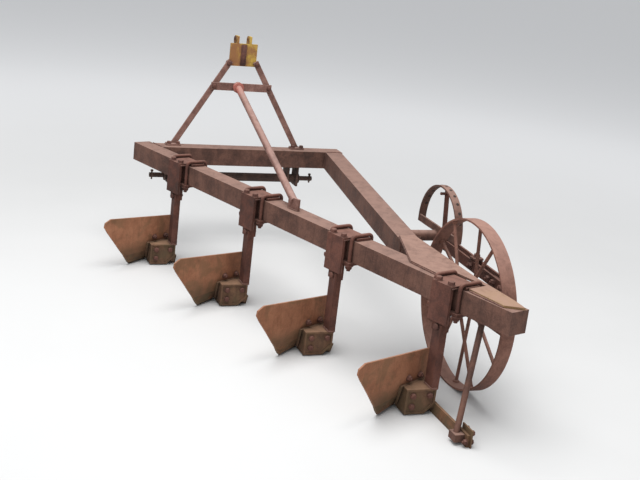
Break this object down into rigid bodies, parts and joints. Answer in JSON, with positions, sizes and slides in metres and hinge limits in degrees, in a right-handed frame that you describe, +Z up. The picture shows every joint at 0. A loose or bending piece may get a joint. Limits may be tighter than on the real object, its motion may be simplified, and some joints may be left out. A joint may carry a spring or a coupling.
{
  "type": "moldboard plough",
  "caption": "Mounted left-turning moldboard plough: skewed box-beam frame, clamped plough bodies, A-frame headstock and a spoked steel land wheel on a swing arm.",
  "frame": {"origin": "centre of the bounding box, on the ground that the soles and the wheel rest on", "axes": "+X the travel direction (towards the tractor), +Y to the left, +Z up"},
  "size_m": [2.8502, 1.5192, 1.2163],
  "materials": {
    "beam_rust": "satin",
    "bracket_rust": "satin",
    "mast_rust": "satin",
    "ochre_paint": "satin",
    "dark_steel": "satin",
    "plate_rust": "satin",
    "share_rust": "satin",
    "frog_rust": "matte",
    "wheel_rust": "satin"
  },
  "bodies": {
    "plough": {"main_beam": "beam_rust", "front_crossbeam": "beam_rust", "side_beam": "beam_rust", "rear_bar": "beam_rust", "tail_plate": "beam_rust", "mast_leg_left": "mast_rust", "mast_leg_right": "mast_rust", "mast_crossbar": "mast_rust", "top_link_bracket": "ochre_paint", "mast_stay": "mast_rust", "hitch_shaft": "dark_steel", "hitch_bracket_left": "dark_steel", "hitch_bracket_right": "dark_steel", "clamp_1": "bracket_rust", "u_bolts_1": "bracket_rust", "leg_1": "bracket_rust", "frog_1": "frog_rust", "share_1": "share_rust", "moldboard_1": "plate_rust", "landside_1": "share_rust", "clamp_2": "bracket_rust", "u_bolts_2": "bracket_rust", "leg_2": "bracket_rust", "frog_2": "frog_rust", "share_2": "share_rust", "moldboard_2": "plate_rust", "landside_2": "share_rust", "clamp_3": "bracket_rust", "u_bolts_3": "bracket_rust", "leg_3": "bracket_rust", "frog_3": "frog_rust", "share_3": "share_rust", "moldboard_3": "plate_rust", "landside_3": "share_rust", "clamp_4": "bracket_rust", "u_bolts_4": "bracket_rust", "leg_4": "bracket_rust", "frog_4": "frog_rust", "share_4": "share_rust", "moldboard_4": "plate_rust", "landside_4": "share_rust", "heel_brace": "beam_rust", "pivot_tube": "beam_rust", "depth_quadrant": "beam_rust"},
    "wheel_swing_arm": {"wheel_arm": "bracket_rust", "wheel_axle": "bracket_rust"},
    "land_wheel": {"wheel_rim": "wheel_rust", "wheel_spokes": "wheel_rust", "wheel_hub": "wheel_rust"}
  },
  "joints": [
    {"name": "wheel_arm_pivot", "type": "hinge", "parent": "plough", "child": "wheel_swing_arm", "pos_m": [-0.31119, -0.68044, 0.545], "axis": [0, 1, 0], "range_deg": [-4, 21]},
    {"name": "land_wheel_spin", "type": "hinge", "parent": "wheel_swing_arm", "child": "land_wheel", "pos_m": [-0.81619, -0.56244, 0.383], "axis": [0, 1, 0], "continuous": true}
  ]
}
